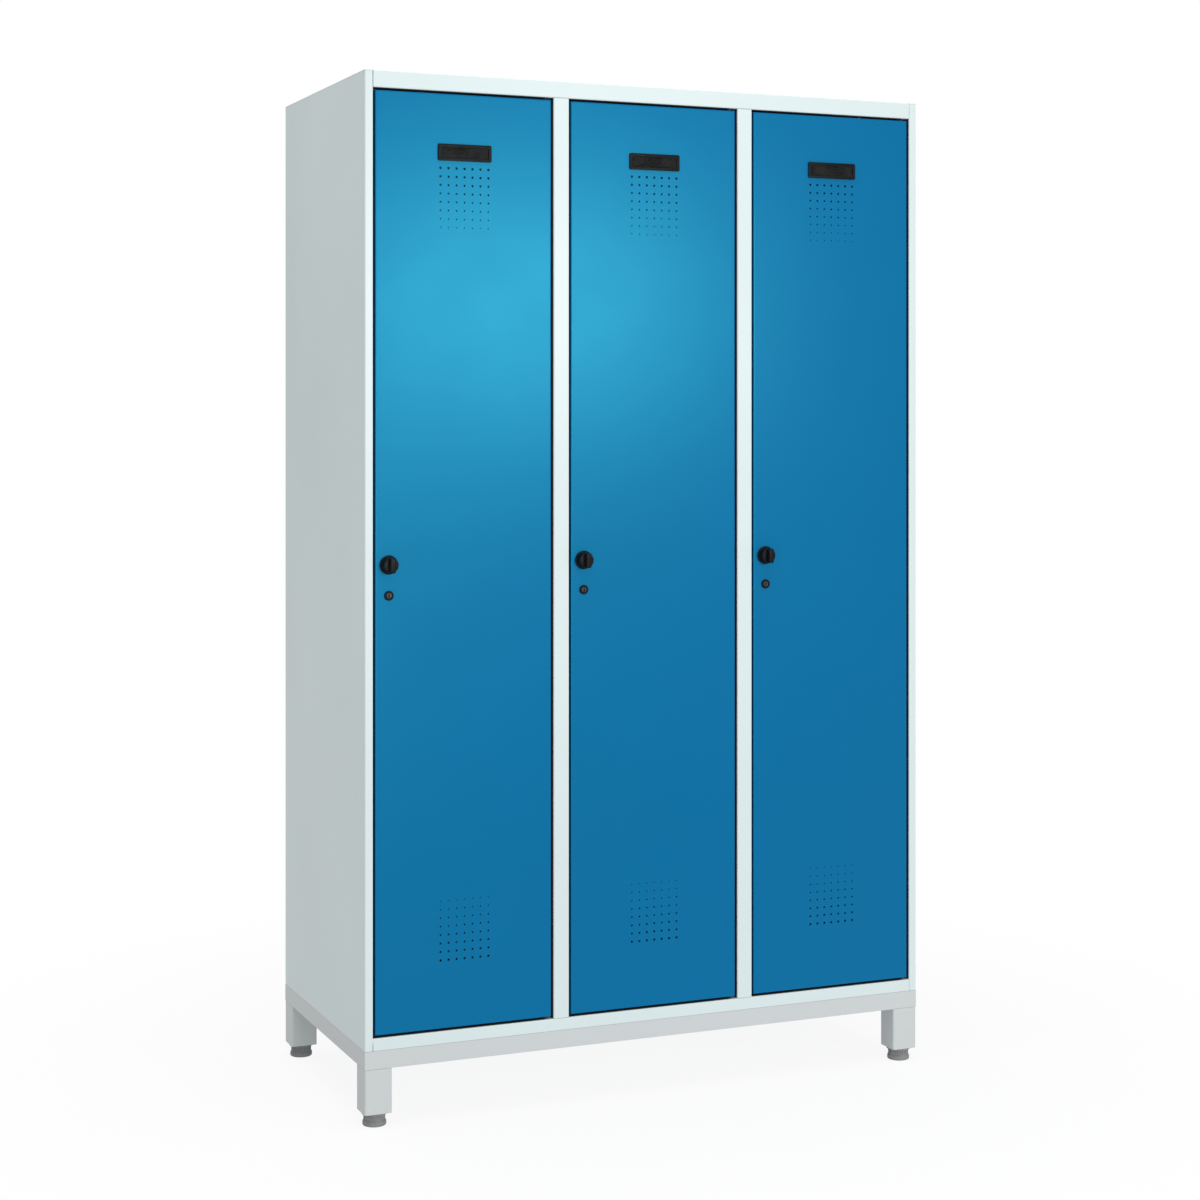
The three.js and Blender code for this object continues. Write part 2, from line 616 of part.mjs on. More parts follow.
function addDoors() {
  DOOR_NAMES.forEach((name, i) => {
    const x = doorCentre(i);
    const lockX = x - DOOR_WIDTH / 2 + KNOB_INSET;
    add(`door_panel_${name}`, doorPanel(x, lockX), BLUE_PAINT);
    add(`door_stiffener_${name}`, doorStiffener(x), BLUE_PAINT);
    add(`label_holder_${name}`, labelHolder(x), BLACK_PLASTIC);
    add(`label_card_${name}`, labelCard(x), CARD);
    add(`lock_rosette_${name}`, lockRosette(lockX), BLACK_PLASTIC);
    add(`lock_case_${name}`, lockCase(lockX), ZINC);
    add(`turn_knob_${name}`, turnKnob(lockX), BLACK_PLASTIC);
    add(`latch_cam_${name}`, latchCam(lockX), ZINC);
    add(`cylinder_collar_${name}`, cylinderCollar(lockX), BLACK_PLASTIC);
    add(`key_plug_${name}`, keyPlug(lockX), DARK_STEEL);
  });
}

addStand();
addCarcass();
addHinges();
addDoors();

export default locker;
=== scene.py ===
# Looks for the three-door locker cabinet. Metres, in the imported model's own frame: +Z up, doors facing -Y.
import json
import math

import bmesh
import bpy
from mathutils import Matrix, Vector


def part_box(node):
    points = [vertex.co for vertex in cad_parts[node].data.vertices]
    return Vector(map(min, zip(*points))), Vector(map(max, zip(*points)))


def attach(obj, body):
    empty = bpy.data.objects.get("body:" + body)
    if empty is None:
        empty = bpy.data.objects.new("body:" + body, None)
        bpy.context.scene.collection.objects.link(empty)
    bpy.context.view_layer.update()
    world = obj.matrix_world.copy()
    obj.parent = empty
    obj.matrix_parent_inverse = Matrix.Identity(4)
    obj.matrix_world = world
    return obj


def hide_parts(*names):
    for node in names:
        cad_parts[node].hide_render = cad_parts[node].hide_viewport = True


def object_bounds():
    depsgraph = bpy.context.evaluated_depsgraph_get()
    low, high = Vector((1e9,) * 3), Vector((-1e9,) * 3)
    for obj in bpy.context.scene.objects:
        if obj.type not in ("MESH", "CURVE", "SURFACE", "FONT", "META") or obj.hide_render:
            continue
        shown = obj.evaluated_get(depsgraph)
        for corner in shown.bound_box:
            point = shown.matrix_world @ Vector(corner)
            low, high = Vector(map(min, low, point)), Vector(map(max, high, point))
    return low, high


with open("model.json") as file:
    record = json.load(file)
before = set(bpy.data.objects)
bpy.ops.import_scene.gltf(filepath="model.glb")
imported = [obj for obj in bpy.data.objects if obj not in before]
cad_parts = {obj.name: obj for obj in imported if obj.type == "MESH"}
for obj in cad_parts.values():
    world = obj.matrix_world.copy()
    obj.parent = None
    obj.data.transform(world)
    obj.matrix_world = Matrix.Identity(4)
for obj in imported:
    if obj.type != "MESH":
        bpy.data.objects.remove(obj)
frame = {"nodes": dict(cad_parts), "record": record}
cad_low, cad_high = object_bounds()
NODES = frame["nodes"]
DOORS = ("left", "middle", "right")
CORNERS = ("front_left", "front_right", "rear_left", "rear_right")
MM = 0.001


# ---------------------------------------------------------------- node helpers


class Shader:
    """A new material with a Principled shader, and short calls for the nodes that feed it."""

    def __init__(self, name):
        self.material = bpy.data.materials.new(name)
        self.material.use_nodes = True
        tree = self.material.node_tree
        tree.nodes.clear()
        self.nodes = tree.nodes
        self.links = tree.links
        output = self.nodes.new("ShaderNodeOutputMaterial")
        self.principled = self.nodes.new("ShaderNodeBsdfPrincipled")
        self.links.new(self.principled.outputs[0], output.inputs[0])
        self.place = self.nodes.new("ShaderNodeTexCoord").outputs["Object"]

    def stretched(self, x, y, z):
        """The object's coordinates, scaled along each axis."""
        node = self.nodes.new("ShaderNodeMapping")
        node.inputs["Scale"].default_value = (x, y, z)
        self.links.new(self.place, node.inputs["Vector"])
        return node.outputs["Vector"]

    def noise(self, scale, detail=3.0, rough=0.5, vector=None):
        node = self.nodes.new("ShaderNodeTexNoise")
        node.inputs["Scale"].default_value = scale
        node.inputs["Detail"].default_value = detail
        node.inputs["Roughness"].default_value = rough
        self.links.new(vector or self.place, node.inputs["Vector"])
        return node.outputs["Fac"]

    def spread(self, value, low, high, to_low=0.0, to_high=1.0):
        """The range low to high, mapped to to_low to to_high and clamped."""
        node = self.nodes.new("ShaderNodeMapRange")
        node.clamp = True
        self.links.new(value, node.inputs["Value"])
        node.inputs["From Min"].default_value = low
        node.inputs["From Max"].default_value = high
        node.inputs["To Min"].default_value = to_low
        node.inputs["To Max"].default_value = to_high
        return node.outputs["Result"]

    def math(self, operation, a, b):
        node = self.nodes.new("ShaderNodeMath")
        node.operation = operation
        for socket, value in zip(node.inputs, (a, b)):
            if isinstance(value, (int, float)):
                socket.default_value = value
            else:
                self.links.new(value, socket)
        return node.outputs[0]

    def mix(self, factor, a, b):
        node = self.nodes.new("ShaderNodeMix")
        node.data_type = "RGBA"
        self.links.new(factor, node.inputs["Factor"])
        for socket, value in ((node.inputs[6], a), (node.inputs[7], b)):
            if isinstance(value, (tuple, list)):
                socket.default_value = (*value, 1.0)
            else:
                self.links.new(value, socket)
        return node.outputs[2]

    def bump(self, value, distance, strength=1.0, below=None):
        node = self.nodes.new("ShaderNodeBump")
        node.inputs["Strength"].default_value = strength
        node.inputs["Distance"].default_value = distance
        self.links.new(value, node.inputs["Height"])
        if below:
            self.links.new(below, node.inputs["Normal"])
        return node.outputs["Normal"]

    def edge_mask(self, radius):
        """1 on outside edges and 0 on flat faces."""
        bevel = self.nodes.new("ShaderNodeBevel")
        bevel.samples = 4
        bevel.inputs["Radius"].default_value = radius
        geometry = self.nodes.new("ShaderNodeNewGeometry")
        dot = self.nodes.new("ShaderNodeVectorMath")
        dot.operation = "DOT_PRODUCT"
        self.links.new(bevel.outputs["Normal"], dot.inputs[0])
        self.links.new(geometry.outputs["Normal"], dot.inputs[1])
        return self.spread(dot.outputs["Value"], 0.98, 0.8)

    def set(self, name, value):
        socket = self.principled.inputs[name]
        if hasattr(value, "node"):
            self.links.new(value, socket)
        elif isinstance(value, tuple):
            socket.default_value = (*value, 1.0)
        else:
            socket.default_value = value


def shade(colour, factor):
    """The same colour, darker or lighter."""
    return tuple(min(1.0, c * factor) for c in colour)


# ---------------------------------------------------------------- materials


def powder_coat(name, colour, roughness, worn, tint=(1.0, 1.0, 1.0), gloss=0.5, clear=0.12):
    """Sprayed paint on sheet steel: slight mottling, orange peel, and a little rubbing along the edges."""
    s = Shader(name)
    mottling = s.spread(s.noise(2.6, 4.0), 0.3, 0.7)
    speckle = s.spread(s.noise(1400.0, 1.0), 0.35, 0.65)
    body = s.mix(mottling, shade(colour, 0.975), shade(colour, 1.025))
    body = s.mix(s.math("MULTIPLY", speckle, 0.25), body, shade(colour, 1.09))
    flecks = s.spread(s.noise(45.0, 5.0, 0.65), 0.42, 0.62, 0.0, 0.45)
    rubbed = s.math("MULTIPLY", s.edge_mask(1.2 * MM), flecks)
    body = s.mix(rubbed, body, worn)
    s.set("Base Color", body)
    handled = s.spread(s.noise(9.0, 5.0, 0.6), 0.35, 0.7, roughness - 0.006, roughness + 0.012)
    s.set("Roughness", s.math("ADD", handled, s.math("MULTIPLY", rubbed, 0.2)))
    waves = s.bump(s.noise(3.0, 0.0), 0.3 * MM, 0.08)
    s.set("Normal", s.bump(s.noise(420.0, 2.0, 0.45), 0.05 * MM, 0.5, waves))
    s.set("Specular IOR Level", gloss)
    s.set("Specular Tint", tint)
    s.set("Coat Weight", clear)
    s.set("Coat Roughness", 0.18)
    return s.material


def moulded_plastic(name, colour, roughness, scuffs):
    """Injection-moulded plastic: fine spark-eroded grain, faint flow marks and grey scuffs on the edges."""
    s = Shader(name)
    flow = s.spread(s.noise(30.0, 3.0, 0.55, s.stretched(1, 1, 3)), 0.3, 0.7)
    body = s.mix(flow, shade(colour, 0.85), shade(colour, 1.2))
    mask = s.spread(s.noise(160.0, 5.0, 0.7), 0.48, 0.66, 0.0, 0.6)
    rubbed = s.math("MULTIPLY", s.edge_mask(0.7 * MM), mask)
    s.set("Base Color", s.mix(rubbed, body, scuffs))
    s.set("Specular IOR Level", 0.16)
    s.set("Roughness", s.spread(s.noise(55.0, 4.0), 0.3, 0.7, roughness - 0.06, roughness + 0.08))
    s.set("Normal", s.bump(s.noise(2600.0, 2.0), 0.02 * MM, 0.5))
    return s.material


def plated_steel(name, dark, light, roughness):
    """Plated pressed steel: drawn grain, spangle-like clouding and duller patches."""
    s = Shader(name)
    clouds = s.spread(s.noise(70.0, 4.0, 0.6), 0.3, 0.7)
    s.set("Base Color", s.mix(clouds, dark, light))
    s.set("Metallic", 1.0)
    s.set("Roughness", s.spread(s.noise(90.0, 5.0), 0.3, 0.7, roughness - 0.08, roughness + 0.12))
    s.set("Normal", s.bump(s.noise(220.0, 3.0, 0.6, s.stretched(1, 1, 0.06)), 0.02 * MM, 0.4))
    return s.material


def card_stock(name):
    """Dark printed card: paper fibre, with paler patches here and there."""
    s = Shader(name)
    fibre = s.spread(s.noise(900.0, 4.0, 0.7, s.stretched(1, 1, 0.3)), 0.3, 0.7)
    body = s.mix(fibre, (0.005, 0.005, 0.006), (0.010, 0.011, 0.011))
    patches = s.spread(s.noise(38.0, 2.0), 0.45, 0.6, 0.0, 0.7)
    s.set("Base Color", s.mix(patches, body, (0.021, 0.021, 0.021)))
    s.set("Specular IOR Level", 0.1)
    s.set("Roughness", s.spread(s.noise(300.0, 2.0), 0.3, 0.7, 0.6, 0.8))
    s.set("Normal", s.bump(s.noise(1500.0, 4.0, 0.7), 0.02 * MM, 0.5))
    return s.material


def clear_window(name):
    """Thin clear film with a few fine scratches."""
    s = Shader(name)
    scratches = s.spread(s.noise(300.0, 3.0, 0.5, s.stretched(0.1, 1, 1)), 0.55, 0.7, 0.05, 0.3)
    s.set("Base Color", s.mix(s.spread(s.noise(60.0, 2.0), 0.3, 0.7), (0.02, 0.02, 0.02), (0.04, 0.04, 0.04)))
    s.set("Roughness", scratches)
    s.set("Alpha", 0.08)
    s.set("Specular IOR Level", 0.3)
    s.set("Normal", s.bump(s.noise(25.0, 1.0), 0.2 * MM, 0.3))
    return s.material


def painted_shade_rubber(name):
    """Matt rubber, nearly black, with a little dust. Its darkness is painted shade for the gaps round the
    doors.
    """
    s = Shader(name)
    dust = s.spread(s.noise(200.0, 4.0, 0.6), 0.4, 0.75, 0.0, 0.5)
    s.set("Base Color", s.mix(dust, (0.02, 0.02, 0.021), (0.06, 0.058, 0.055)))
    s.set("Roughness", s.spread(s.noise(120.0, 3.0), 0.3, 0.7, 0.65, 0.85))
    s.set("Normal", s.bump(s.noise(1800.0, 3.0), 0.03 * MM, 0.5))
    return s.material


GREY = (0.635, 0.725, 0.73)
GREY_WORN = (0.50, 0.51, 0.51)
STAND_GREY = (0.555, 0.585, 0.59)
STAND_WORN = (0.38, 0.39, 0.39)
BLUE = (0.0006, 0.115, 0.300)
BLUE_WORN = (0.02, 0.19, 0.38)
BLUE_SHINE = (0.1, 0.88, 1.0)
BLACK = (0.002, 0.003, 0.004)
BLACK_SCUFFS = (0.025, 0.025, 0.026)
FOOT_GREY = (0.25, 0.255, 0.255)
FOOT_SCUFFS = (0.34, 0.34, 0.335)

MATERIALS = {
    "grey_paint": powder_coat("grey powder coat", GREY, 0.42, GREY_WORN),
    "stand_paint": powder_coat("stand powder coat", STAND_GREY, 0.45, STAND_WORN),
    "blue_paint": powder_coat("blue powder coat", BLUE, 0.29, BLUE_WORN, BLUE_SHINE, gloss=0.75, clear=0.0),
    "black_plastic": moulded_plastic("black moulded plastic", BLACK, 0.42, BLACK_SCUFFS),
    "foot_plastic": moulded_plastic("grey moulded plastic", FOOT_GREY, 0.55, FOOT_SCUFFS),
    "label_card": card_stock("dark card"),
    "zinc_steel": plated_steel("zinc plate", (0.52, 0.54, 0.55), (0.70, 0.71, 0.70), 0.34),
    "dark_steel": plated_steel("blackened steel", (0.035, 0.036, 0.038), (0.06, 0.06, 0.062), 0.42),
}
WINDOW = clear_window("clear film")
# This nearly black material paints shade into the gaps round the doors.
GAP_SHADE_RUBBER = painted_shade_rubber("painted gap shade rubber")


# ---------------------------------------------------------------- shape helpers


def node_box(name):
    """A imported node's lowest and highest corners at rest."""
    low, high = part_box(name)
    return Vector(low), Vector(high)


def node_middle(name):
    low, high = node_box(name)
    return (low + high) / 2


def finish_piece(obj, body, slot, material=None, sharp_above=35.0):
    """Smooth shading with crisp corners, a material, and a body to ride on."""
    for polygon in obj.data.polygons:
        polygon.use_smooth = True
    obj.data.set_sharp_from_angle(angle=math.radians(sharp_above))
    obj.data.materials.clear()
    obj.data.materials.append(material or MATERIALS[slot])
    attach(obj, body)
    return obj


def object_from(name, bm):
    bmesh.ops.remove_doubles(bm, verts=bm.verts, dist=1e-6)
    bmesh.ops.recalc_face_normals(bm, faces=bm.faces)
    mesh = bpy.data.meshes.new(name)
    bm.to_mesh(mesh)
    bm.free()
    obj = bpy.data.objects.new(name, mesh)
    bpy.context.scene.collection.objects.link(obj)
    return obj


def filleted(points, radius, steps=4):
    """The same open line with its inner corners rounded."""
    out = [Vector(points[0])]
    for before, corner, after in zip(points, points[1:], points[2:]):
        corner = Vector(corner)
        to_before = Vector(before) - corner
        to_after = Vector(after) - corner
        reach = min(radius, to_before.length * 0.45, to_after.length * 0.45)
        start = corner + to_before.normalized() * reach
        end = corner + to_after.normalized() * reach
        for step in range(steps + 1):
            t = step / steps
            out.append(start * (1 - t) ** 2 + corner * 2 * t * (1 - t) + end * t ** 2)
    out.append(Vector(points[-1]))
    return out


def turned(bm, profile, place, axis, segments=64, closed=False):
    """Adds a body of revolution. The profile lists (radius, distance along the axis) from place."""
    turn = Vector((0, 0, 1)).rotation_difference(Vector(axis)).to_matrix()
    rings = []
    for radius, along in profile:
        if radius < 1e-7:
            rings.append([bm.verts.new(Vector(place) + turn @ Vector((0, 0, along)))])
            continue
        ring = []
        for i in range(segments):
            angle = 2 * math.pi * i / segments
            point = Vector((radius * math.cos(angle), radius * math.sin(angle), along))
            ring.append(bm.verts.new(Vector(place) + turn @ point))
        rings.append(ring)
    pairs = list(zip(rings, rings[1:]))
    if closed:
        pairs.append((rings[-1], rings[0]))
    for lower, upper in pairs:
        for i in range(segments):
            j = (i + 1) % segments
            below = [lower[i % len(lower)], lower[j % len(lower)]]
            above = [upper[j % len(upper)], upper[i % len(upper)]]
            unique = list(dict.fromkeys(below + above))
            if len(unique) > 2:
                bm.faces.new(unique)


def soft_box(bm, low, high, radius, segments=3):
    """Adds a block with all its edges rounded."""
    made = bmesh.ops.create_cube(bm, size=1.0)
    low, high = Vector(low), Vector(high)
    for vertex in made["verts"]:
        share = vertex.co + Vector((0.5, 0.5, 0.5))
        vertex.co = Vector([low[i] + (high[i] - low[i]) * share[i] for i in range(3)])
    edges = list({edge for vertex in made["verts"] for edge in vertex.link_edges})
    bmesh.ops.bevel(bm, geom=edges, offset=radius, segments=segments, profile=0.5, affect="EDGES")


def rounded_rectangle(cx, cz, width, height, radius, steps=6):
    points = []
    for quarter, (sx, sz) in enumerate(((1, 1), (-1, 1), (-1, -1), (1, -1))):
        middle = Vector((cx + sx * (width / 2 - radius), cz + sz * (height / 2 - radius)))
        for step in range(steps + 1):
            angle = (quarter + step / steps) * math.pi / 2
            points.append(middle + Vector((math.cos(angle), math.sin(angle))) * radius)
    return points


def circle(cx, cz, radius, steps=48):
    angles = [2 * math.pi * i / steps for i in range(steps)]
    return [Vector((cx + radius * math.cos(a), cz + radius * math.sin(a))) for a in angles]


def plate(name, outlines, y_front, y_rear, round_over):
    """A flat plate in the XZ plane with rounded edges. After the outside, every outline is a hole."""
    curve = bpy.data.curves.new(name, "CURVE")
    curve.dimensions = "2D"
    curve.fill_mode = "BOTH"
    curve.extrude = (y_rear - y_front) / 2 - round_over
    curve.bevel_depth = round_over
    curve.bevel_resolution = 2
    curve.offset = -round_over
    for outline in outlines:
        spline = curve.splines.new("POLY")
        spline.points.add(len(outline) - 1)
        for point, (x, z) in zip(spline.points, outline):
            point.co = (x, z, 0.0, 1.0)
        spline.use_cyclic_u = True
    helper = bpy.data.objects.new(name + "_outline", curve)
    bpy.context.scene.collection.objects.link(helper)
    bpy.context.view_layer.update()
    mesh = bpy.data.meshes.new_from_object(helper.evaluated_get(bpy.context.evaluated_depsgraph_get()))
    bpy.data.objects.remove(helper)
    bpy.data.curves.remove(curve)
    mesh.transform(Matrix.Translation((0, (y_front + y_rear) / 2, 0)) @ Matrix.Rotation(math.pi / 2, 4, "X"))
    bm = bmesh.new()
    bm.from_mesh(mesh)
    bpy.data.meshes.remove(mesh)
    return object_from(name, bm)


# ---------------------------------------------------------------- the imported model's own nodes


def dress_cad_node(name):
    """Gives a node its paint, and small rounded edges that catch the light."""
    obj = NODES[name]
    slot = next(s["material_slot"] for s in frame["record"]["subparts"] if s["node"] == name)
    for material_slot in obj.material_slots:
        material_slot.material = MATERIALS[slot]
    weld = obj.modifiers.new("weld", "WELD")
    weld.merge_threshold = 1e-6
    bevel = obj.modifiers.new("bevel", "BEVEL")
    bevel.width = 0.28 * MM
    bevel.segments = 2
    bevel.limit_method = "ANGLE"
    bevel.angle_limit = math.radians(34)
    bevel.harden_normals = True
    bevel.use_clamp_overlap = True


# ---------------------------------------------------------------- fittings

PLAY = 0.3 * MM  # between two pieces that touch
SPINDLE_RADIUS = 5 * MM
SPINDLE_BORE = 5.6 * MM
SPINDLE_SQUARE = 3.4 * MM  # half of the square end that carries the cam
GRIP_BAR = 4.8 * MM  # half of the thumb bar across the knob
GRIP_DEPTH = 11 * MM  # how far the bar stands ahead of the knob's disc
KEYWAY = (1.6 * MM, 6.4 * MM)
KEY_FACE_DEPTH = 5 * MM
LABEL_RIM = 5.5 * MM
FOOT_RADIUS = 21 * MM
FOOT_NECK = 18 * MM
FOOT_RIBS = 24
RAIL_RADIUS = 9 * MM
HOOK_WIRE = 2.2 * MM
HOOK_BOWL = 14 * MM
# Black strips that paint shade into the gaps round the doors: their thickness, and their setback.
GAP_SHADE_STRIP = 0.8 * MM
GAP_SHADE_SETBACK = 2.6 * MM  # the painted-shade strip starts this far behind the frame's face


def turn_knob(door):
    """A disc with a thumb bar, on a round spindle with a square end."""
    node = "turn_knob_" + door
    low, high = node_box(node)
    middle = (low + high) / 2
    rosette_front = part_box("lock_rosette_" + door)[0][1]
    cam_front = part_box("latch_cam_" + door)[0][1]
    radius = (high.x - low.x) / 2
    disc_rear = rosette_front - PLAY
    disc_front = low.y + GRIP_DEPTH
    bm = bmesh.new()
    disc = [(0, disc_front), (radius - 1 * MM, disc_front), (radius, disc_rear - 1 * MM), (radius, disc_rear)]
    profile = [*disc, (SPINDLE_RADIUS, disc_rear), (SPINDLE_RADIUS, cam_front), (0, cam_front)]
    turned(bm, filleted(profile, 1.6 * MM), (middle.x, 0, middle.z), (0, 1, 0))
    reach = radius - 1.2 * MM
    soft_box(bm, (middle.x - GRIP_BAR, low.y, middle.z - reach),
             (middle.x + GRIP_BAR, disc_front + 3 * MM, middle.z + reach), 2.0 * MM, 4)
    square = SPINDLE_SQUARE
    soft_box(bm, (middle.x - square, cam_front - 2 * MM, middle.z - square),
             (middle.x + square, high.y, middle.z + square), 0.4 * MM, 2)
    knob = finish_piece(object_from("knob_grip_" + door, bm), "latch_" + door, "black_plastic")
    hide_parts(node)


def rosette(door):
    """The round escutcheon behind the knob."""
    node = "lock_rosette_" + door
    low, high = node_box(node)
    middle = (low + high) / 2
    radius = (high.x - low.x) / 2
    bore = SPINDLE_BORE
    bm = bmesh.new()
    front = [(bore, low.y), (radius - 1.8 * MM, low.y), (radius, low.y + 1.6 * MM)]
    outline = [*front, (radius, high.y), (bore, high.y)]
    turned(bm, filleted(outline, 0.6 * MM, 3), (middle.x, 0, middle.z), (0, 1, 0), closed=True)
    piece = finish_piece(object_from("knob_rosette_" + door, bm), "door_" + door, "black_plastic")
    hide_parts(node)


def key_cylinder(door):
    """The collar on the door, and the plug with its keyway, which turns."""
    collar_low, collar_high = node_box("cylinder_collar_" + door)
    plug_low, plug_high = node_box("key_plug_" + door)
    middle = (collar_low + collar_high) / 2
    radius = (collar_high.x - collar_low.x) / 2
    plug_radius = (plug_high.x - plug_low.x) / 2
    bore = plug_radius + 0.4 * MM
    bm = bmesh.new()
    front = collar_low.y
    outline = [(bore, front + 0.6 * MM), (bore + 0.7 * MM, front), (radius - 1 * MM, front)]
    outline += [(radius, front + 1.2 * MM), (radius, collar_high.y), (bore, collar_high.y)]
    turned(bm, filleted(outline, 0.4 * MM, 3), (middle.x, 0, middle.z), (0, 1, 0), closed=True)
    collar = finish_piece(object_from("key_collar_" + door, bm), "door_" + door, "black_plastic")
    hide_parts("cylinder_collar_" + door)
    keyway = rounded_rectangle(middle.x, middle.z, *KEYWAY, 0.5 * MM, 3)
    face_rear = plug_low.y + KEY_FACE_DEPTH
    outline = circle(middle.x, middle.z, plug_radius)
    face = plate("key_plug_face_" + door, [outline, keyway], plug_low.y, face_rear, 0.3 * MM)
    finish_piece(face, "key_plug_body_" + door, "dark_steel")
    bm = bmesh.new()
    profile = [(0, face_rear), (plug_radius, face_rear), (plug_radius, plug_high.y), (0, plug_high.y)]
    turned(bm, filleted(profile, 0.3 * MM, 2), (middle.x, 0, middle.z), (0, 1, 0), 48)
    barrel = finish_piece(object_from("key_plug_barrel_" + door, bm), "key_plug_body_" + door, "dark_steel")
    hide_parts("key_plug_" + door)


def label_holder(door):
    """A frame with a rim, its base, and the clear film in front of the card."""
    node = "label_holder_" + door
    low, high = node_box(node)
    middle = (low + high) / 2
    width, height = high.x - low.x, high.z - low.z
    outside = rounded_rectangle(middle.x, middle.z, width, height, 3 * MM)
    window = rounded_rectangle(middle.x, middle.z, width - 2 * LABEL_RIM, height - 2 * LABEL_RIM, 1.5 * MM)
    step_y = low.y + 1.5 * MM
    front = plate("label_frame_" + door, [outside, window], low.y, step_y, 0.5 * MM)
    finish_piece(front, "door_" + door, "black_plastic")
    pocket = rounded_rectangle(middle.x, middle.z, width - 7 * MM, height - 7 * MM, 1 * MM)
    back = plate("label_base_" + door, [outside, pocket], step_y - PLAY, high.y, 0.3 * MM)
    finish_piece(back, "door_" + door, "black_plastic")
    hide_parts(node)
    card_front = node_box("label_card_" + door)[0].y
    film = rounded_rectangle(middle.x, middle.z, width - 8 * MM, height - 8 * MM, 1 * MM)
    film_rear = card_front - 0.05 * MM
    clear = plate("label_film_" + door, [film], film_rear - 0.5 * MM, film_rear, 0.05 * MM)
    finish_piece(clear, "door_" + door, "label_card", WINDOW)


def foot(corner):
    """A pad with a ribbed neck, and a collar under the end of the leg."""
    node = "foot_" + corner
    low, high = node_box(node)
    middle = (low + high) / 2
    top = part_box("leg_" + corner)[0][2]  # the leg's lower end
    radius = FOOT_RADIUS
    neck = FOOT_NECK
    bm = bmesh.new()
    profile = [(0, 0), (radius - 1.5 * MM, 0), (radius, 1.5 * MM), (radius, 7.5 * MM), (neck, 11 * MM),
               (neck, top + 4 * MM), (0, top + 4 * MM)]
    turned(bm, filleted(profile, 1.2 * MM), (middle.x, middle.y, 0), (0, 0, 1), 72)
    collar_inside, collar_outside = neck - 1 * MM, radius + 1.5 * MM
    collar_bottom, collar_top = top - 4 * MM, top - 0.4 * MM
    collar = [(collar_inside, collar_bottom), (collar_outside, collar_bottom)]
    collar += [(collar_outside, collar_top), (collar_inside, collar_top), (collar_inside, collar_bottom)]
    section = filleted(collar, 0.5 * MM, 2)[:-1]
    turned(bm, section, (middle.x, middle.y, 0), (0, 0, 1), 72, closed=True)
    half_rib = 0.9 * MM
    for i in range(FOOT_RIBS):
        angle = 2 * math.pi * i / FOOT_RIBS
        x = middle.x + math.cos(angle) * (neck + 0.2 * MM)
        y = middle.y + math.sin(angle) * (neck + 0.2 * MM)
        rib_low = (x - half_rib, y - half_rib, 10 * MM)
        rib_high = (x + half_rib, y + half_rib, top - 3.5 * MM)
        soft_box(bm, rib_low, rib_high, 0.3 * MM, 1)
    piece = finish_piece(object_from("foot_pad_" + corner, bm), "cabinet", "foot_plastic")
    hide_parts(node)


def coat_hook(door, number, share):
    """A bent wire hook that hangs on the rail."""
    low, high = node_box("coat_rail_" + door)
    rail = (low + high) / 2
    x = low.x + (high.x - low.x) * share
    points = []
    for step in range(13):
        angle = math.radians(200 - 220 * step / 12)
        reach = RAIL_RADIUS + HOOK_WIRE + 0.2 * MM
        points.append((x, rail.y + reach * math.cos(angle), rail.z + reach * math.sin(angle)))
    tail_y = points[-1][1]
    tail_z = points[-1][2]
    points.append((x, tail_y - 3 * MM, tail_z - 14 * MM))
    points.append((x, rail.y + 1 * MM, tail_z - 28 * MM))
    for step in range(11):
        angle = math.radians(90 - 250 * step / 10)
        y = rail.y + HOOK_BOWL * math.cos(angle)
        points.append((x, y, tail_z - 48 * MM + HOOK_BOWL * math.sin(angle)))
    curve = bpy.data.curves.new("hook", "CURVE")
    curve.dimensions = "3D"
    curve.bevel_depth = HOOK_WIRE
    curve.bevel_resolution = 4
    curve.use_fill_caps = True
    spline = curve.splines.new("NURBS")
    spline.points.add(len(points) - 1)
    for point, place in zip(spline.points, points):
        point.co = (*place, 1.0)
    spline.use_endpoint_u = True
    spline.order_u = 4
    spline.resolution_u = 3
    helper = bpy.data.objects.new("hook_line", curve)
    bpy.context.scene.collection.objects.link(helper)
    bpy.context.view_layer.update()
    mesh = bpy.data.meshes.new_from_object(helper.evaluated_get(bpy.context.evaluated_depsgraph_get()))
    bpy.data.objects.remove(helper)
    bpy.data.curves.remove(curve)
    bm = bmesh.new()
    bm.from_mesh(mesh)
    bpy.data.meshes.remove(mesh)
    finish_piece(object_from("coat_hook_%s_%d" % (door, number), bm), "cabinet", "zinc_steel")


def gap_shade_strips(door):
    """Painted shade: black strips around the opening that darken the gap round the door, on the jambs, under
    the rails and on the stop lip.
    """
    panel_low, panel_high = node_box("door_panel_" + door)
    gap = panel_low.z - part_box("bottom_panel")[1][2]
    left, right = panel_low.x - gap, panel_high.x + gap
    bottom, top = panel_low.z - gap, panel_high.z + gap
    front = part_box("mullion_left")[0][1] + GAP_SHADE_SETBACK
    lip_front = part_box("mullion_left")[1][1] - 0.8 * MM
    strip = GAP_SHADE_STRIP
    edge = 0.15 * MM
    before_pin = right - 17.5 * MM
    lip_low = (left + strip, lip_front - strip, bottom + strip)
    lip_high = (left + 7 * MM, lip_front, top - strip)
    bm = bmesh.new()
    soft_box(bm, (left, front, bottom), (left + strip, lip_front, top), edge, 1)
    soft_box(bm, (right - strip, front, bottom), (right, lip_front, top), edge, 1)
    for z0, z1 in ((bottom, bottom + strip), (top - strip, top)):
        soft_box(bm, (left + strip, front, z0), (before_pin, lip_front, z1), edge, 1)
    soft_box(bm, lip_low, lip_high, edge, 1)
    # The strips are painted shade: they make the gap round the door dark where only shade would darken it.
    finish_piece(object_from("gap_shade_strips_" + door, bm), "cabinet", "black_plastic", GAP_SHADE_RUBBER)


